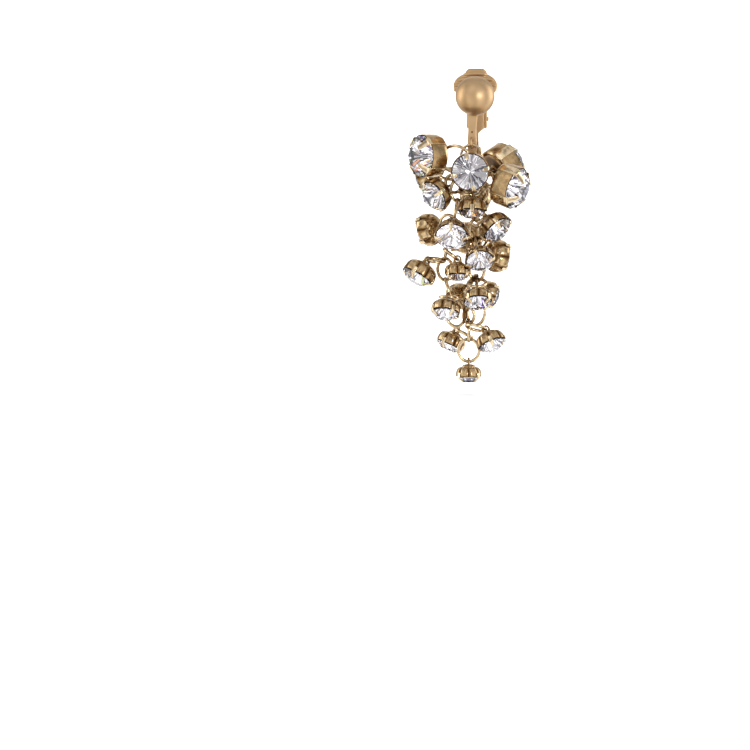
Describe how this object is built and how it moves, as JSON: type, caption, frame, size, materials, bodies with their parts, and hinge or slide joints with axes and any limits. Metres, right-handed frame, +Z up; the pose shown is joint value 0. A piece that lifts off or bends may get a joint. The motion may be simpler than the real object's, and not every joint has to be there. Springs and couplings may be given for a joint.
{
  "type": "chandelier earring",
  "caption": "Clip-on drop earring: a satin ball on a sprung ear clip, with a tapering cluster of claw-set cut stones hung on rings.",
  "frame": {"origin": "the point where the clip grips the ear lobe, behind the ball's middle", "axes": "+Z up, +Y back through the lobe toward the wearer's head, -Y toward the viewer, +X to the viewer's right"},
  "size_m": [0.0261, 0.0204, 0.0633],
  "materials": {
    "satin_gold_plate": "satin gold plate",
    "antique_gold_plate": "antiqued gold plate, bright on the edges and dark in the recesses",
    "foil_backed_crystal": "cut clear glass with a silver foil back"
  },
  "bodies": {
    "clip": {"clip_frame": "satin_gold_plate", "hinge_pin": "satin_gold_plate"},
    "lever": {"clip_lever": "satin_gold_plate", "lobe_pad": "satin_gold_plate"},
    "ring": {"drop_ring": "antique_gold_plate"},
    "cluster": {"chain_links": "antique_gold_plate", "setting_top_left": "antique_gold_plate", "setting_top_centre": "antique_gold_plate", "setting_top_right": "antique_gold_plate", "setting_top_back_right": "antique_gold_plate", "setting_top_back_left": "antique_gold_plate", "setting_second_left": "antique_gold_plate", "setting_second_centre": "antique_gold_plate", "setting_second_back": "antique_gold_plate", "setting_third_right": "antique_gold_plate", "setting_third_left": "antique_gold_plate", "setting_third_back_left": "antique_gold_plate", "setting_third_back": "antique_gold_plate", "setting_fourth_right": "antique_gold_plate", "setting_fourth_back_right": "antique_gold_plate", "setting_fourth_left": "antique_gold_plate", "setting_fourth_centre": "antique_gold_plate", "setting_fifth_left": "antique_gold_plate", "setting_fifth_right": "antique_gold_plate", "setting_fifth_back_right": "antique_gold_plate", "setting_fifth_back_left": "antique_gold_plate", "setting_sixth_left": "antique_gold_plate", "setting_sixth_right": "antique_gold_plate", "setting_tip": "antique_gold_plate", "crystal_top_left": "foil_backed_crystal", "crystal_top_centre": "foil_backed_crystal", "crystal_top_right": "foil_backed_crystal", "crystal_top_back_right": "foil_backed_crystal", "crystal_top_back_left": "foil_backed_crystal", "crystal_second_left": "foil_backed_crystal", "crystal_second_centre": "foil_backed_crystal", "crystal_second_back": "foil_backed_crystal", "crystal_third_right": "foil_backed_crystal", "crystal_third_left": "foil_backed_crystal", "crystal_third_back_left": "foil_backed_crystal", "crystal_third_back": "foil_backed_crystal", "crystal_fourth_right": "foil_backed_crystal", "crystal_fourth_back_right": "foil_backed_crystal", "crystal_fourth_left": "foil_backed_crystal", "crystal_fourth_centre": "foil_backed_crystal", "crystal_fifth_left": "foil_backed_crystal", "crystal_fifth_right": "foil_backed_crystal", "crystal_fifth_back_right": "foil_backed_crystal", "crystal_fifth_back_left": "foil_backed_crystal", "crystal_sixth_left": "foil_backed_crystal", "crystal_sixth_right": "foil_backed_crystal", "crystal_tip": "foil_backed_crystal"}
  },
  "joints": [
    {"name": "lever_hinge", "type": "hinge", "parent": "clip", "child": "lever", "pos_m": [0, 0.0018, -0.01115], "axis": [-1, 0, 0], "range_deg": [0, 70], "stiffness_Nm_per_rad": 0.02, "springref_deg": -28.65},
    {"name": "ring_swing", "type": "hinge", "parent": "clip", "child": "ring", "pos_m": [0, -0.0044, -0.00972], "axis": [1, 0, 0], "range_deg": [-40, 5]},
    {"name": "cluster_swing", "type": "hinge", "parent": "ring", "child": "cluster", "pos_m": [0, -0.0044, -0.01178], "axis": [0, 1, 0], "range_deg": [-15, 15]}
  ]
}
